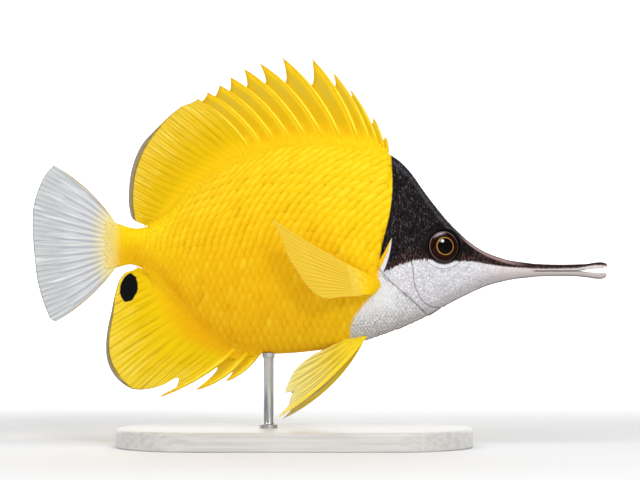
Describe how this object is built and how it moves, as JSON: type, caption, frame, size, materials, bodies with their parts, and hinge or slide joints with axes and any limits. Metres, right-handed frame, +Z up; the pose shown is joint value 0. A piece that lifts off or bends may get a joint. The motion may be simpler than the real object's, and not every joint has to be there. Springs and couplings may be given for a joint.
{
  "type": "longnose butterflyfish model on a display stand",
  "caption": "Still life-size reef fish with a long tubular snout, a spiny saw-edged back fin and a fan tail, swimming level on a flat base with one short rod.",
  "frame": {"origin": "on the floor, below the middle of the fish's length", "axes": "+X forward to the tip of the snout, +Y to the fish's left side, +Z up"},
  "size_m": [0.1802, 0.056, 0.122],
  "materials": {
    "head_skin": "moist skin, brown-black mask above and silvery white below, fine scales",
    "eye": "glossy dark brown iris with a thin gold ring round a black pupil",
    "body_skin": "bright yellow overlapping scales, deeper gold towards the belly",
    "fin_membrane": "yellow ribbed fin membrane with pale and thin margins and one dark spot on the anal fin",
    "tail_membrane": "whitish translucent ribbed fin membrane, yellow at its root",
    "stand_base": "pale grey satin lacquer over a fine grain",
    "stand_rod": "brushed along its length"
  },
  "bodies": {
    "root": {"head": "head_skin", "gill_cover_left": "head_skin", "gill_cover_right": "head_skin", "snout": "head_skin", "upper_jaw": "head_skin", "lower_jaw": "head_skin", "eye_left": "eye", "eye_right": "eye", "trunk": "body_skin", "tail_stalk": "body_skin", "tail_fin": "tail_membrane", "dorsal_fin_spiny": "fin_membrane", "dorsal_fin_soft": "fin_membrane", "anal_fin_spiny": "fin_membrane", "anal_fin_soft": "fin_membrane", "pectoral_fin_left": "fin_membrane", "pectoral_fin_right": "fin_membrane", "pelvic_fin_left": "fin_membrane", "pelvic_fin_right": "fin_membrane", "stand_base": "stand_base", "stand_rod": "stand_rod"}
  },
  "joints": []
}
